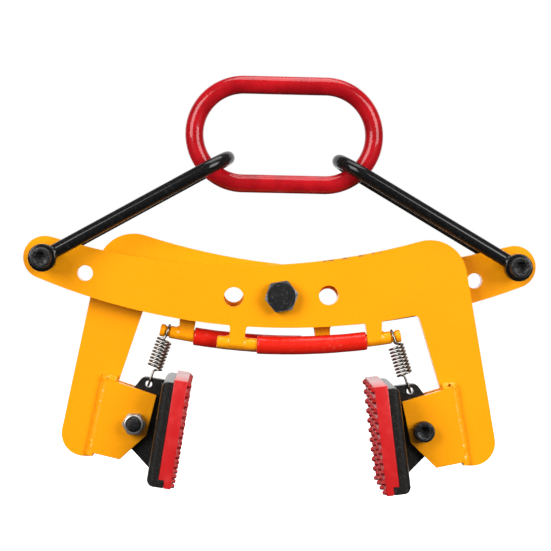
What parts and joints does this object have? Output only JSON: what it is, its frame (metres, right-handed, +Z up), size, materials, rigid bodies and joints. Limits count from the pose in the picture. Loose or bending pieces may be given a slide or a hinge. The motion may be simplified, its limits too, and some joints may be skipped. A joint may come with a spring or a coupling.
{
  "type": "stone lifting clamp",
  "caption": "Scissor lifting clamp for stone: crossed plate arms with studded tilting pads, hung from an oblong ring by U-shaped links, with spring-centred pads and sleeved rest bars.",
  "frame": {"origin": "hook seat, the inside of the master link's top bar at its middle", "axes": "+X along the clamp towards the jaw of the front arm, +Y away from the viewer along the pivot bolt towards its nut, +Z up, the way the hook pulls"},
  "size_m": [0.4472, 0.121, 0.3574],
  "materials": {
    "ring_red": "gloss",
    "link_black": "gloss",
    "yellow_paint": "satin",
    "sleeve_red": "satin",
    "pad_red": "satin",
    "backing_black": "satin",
    "black_oxide": "satin",
    "zinc": "bright",
    "spring_steel": "bright"
  },
  "bodies": {
    "master_link": {"master_link": "ring_red"},
    "left_link": {"left_link": "link_black", "left_link_bolt": "black_oxide", "left_link_nut": "zinc", "left_link_bushes": "black_oxide"},
    "front_arm": {"front_arm_plate": "yellow_paint", "front_arm_outer_cheek": "yellow_paint", "front_arm_inner_cheek": "yellow_paint", "front_arm_outer_weld": "yellow_paint", "front_arm_inner_weld": "yellow_paint", "front_rest_bar": "yellow_paint", "front_rest_sleeve": "sleeve_red", "pivot_bolt": "black_oxide", "pivot_nut": "zinc", "pivot_washer": "zinc", "pivot_spacer": "zinc", "right_pad_bolt": "black_oxide", "right_pad_nut": "zinc", "right_pad_spring": "spring_steel"},
    "back_arm": {"back_arm_plate": "yellow_paint", "back_arm_outer_cheek": "yellow_paint", "back_arm_inner_cheek": "yellow_paint", "back_arm_outer_weld": "yellow_paint", "back_arm_inner_weld": "yellow_paint", "back_rest_bar": "yellow_paint", "back_rest_sleeve": "sleeve_red", "left_pad_bolt": "black_oxide", "left_pad_nut": "zinc", "left_pad_spring": "spring_steel"},
    "right_link": {"right_link": "link_black", "right_link_bolt": "black_oxide", "right_link_nut": "zinc", "right_link_bushes": "black_oxide"},
    "right_pad": {"right_pad_backing": "backing_black", "right_pad_rib": "backing_black", "right_pad_block": "pad_red"},
    "left_pad": {"left_pad_backing": "backing_black", "left_pad_rib": "backing_black", "left_pad_block": "pad_red"}
  },
  "joints": [
    {"name": "left_link_swing", "type": "hinge", "parent": "master_link", "child": "left_link", "pos_m": [-0.07307, 0, -0.07441], "axis": [0, -1, 0], "range_deg": [-1.5, 17]},
    {"name": "front_arm_turn", "type": "hinge", "parent": "left_link", "child": "front_arm", "pos_m": [-0.205, -0.0085, -0.14602], "axis": [0, 1, 0], "range_deg": [-3, 36]},
    {"name": "arms_close", "type": "hinge", "parent": "front_arm", "child": "back_arm", "pos_m": [0, 0, -0.1753], "axis": [0, -1, 0], "range_deg": [-3, 42]},
    {"name": "right_link_swing", "type": "hinge", "parent": "back_arm", "child": "right_link", "pos_m": [0.205, 0.0085, -0.14602], "axis": [0, 1, 0], "range_deg": [-3.5, 42]},
    {"name": "right_pad_tilt", "type": "hinge", "parent": "front_arm", "child": "right_pad", "pos_m": [0.1256, -0.0085, -0.2894], "axis": [0, -1, 0], "range_deg": [-6, 25], "stiffness_Nm_per_rad": 2, "springref_deg": -5.44, "deforming": ["right_pad_spring"]},
    {"name": "left_pad_tilt", "type": "hinge", "parent": "back_arm", "child": "left_pad", "pos_m": [-0.1256, 0.0085, -0.2894], "axis": [0, 1, 0], "range_deg": [-6, 25], "stiffness_Nm_per_rad": 2, "springref_deg": -5.44, "deforming": ["left_pad_spring"]}
  ],
  "couplings": [
    {"joint": "left_link_swing", "follows": "arms_close", "ratio": 0.3924},
    {"joint": "front_arm_turn", "follows": "arms_close", "ratio": 0.8416},
    {"joint": "right_link_swing", "follows": "arms_close", "ratio": 0.9846}
  ]
}
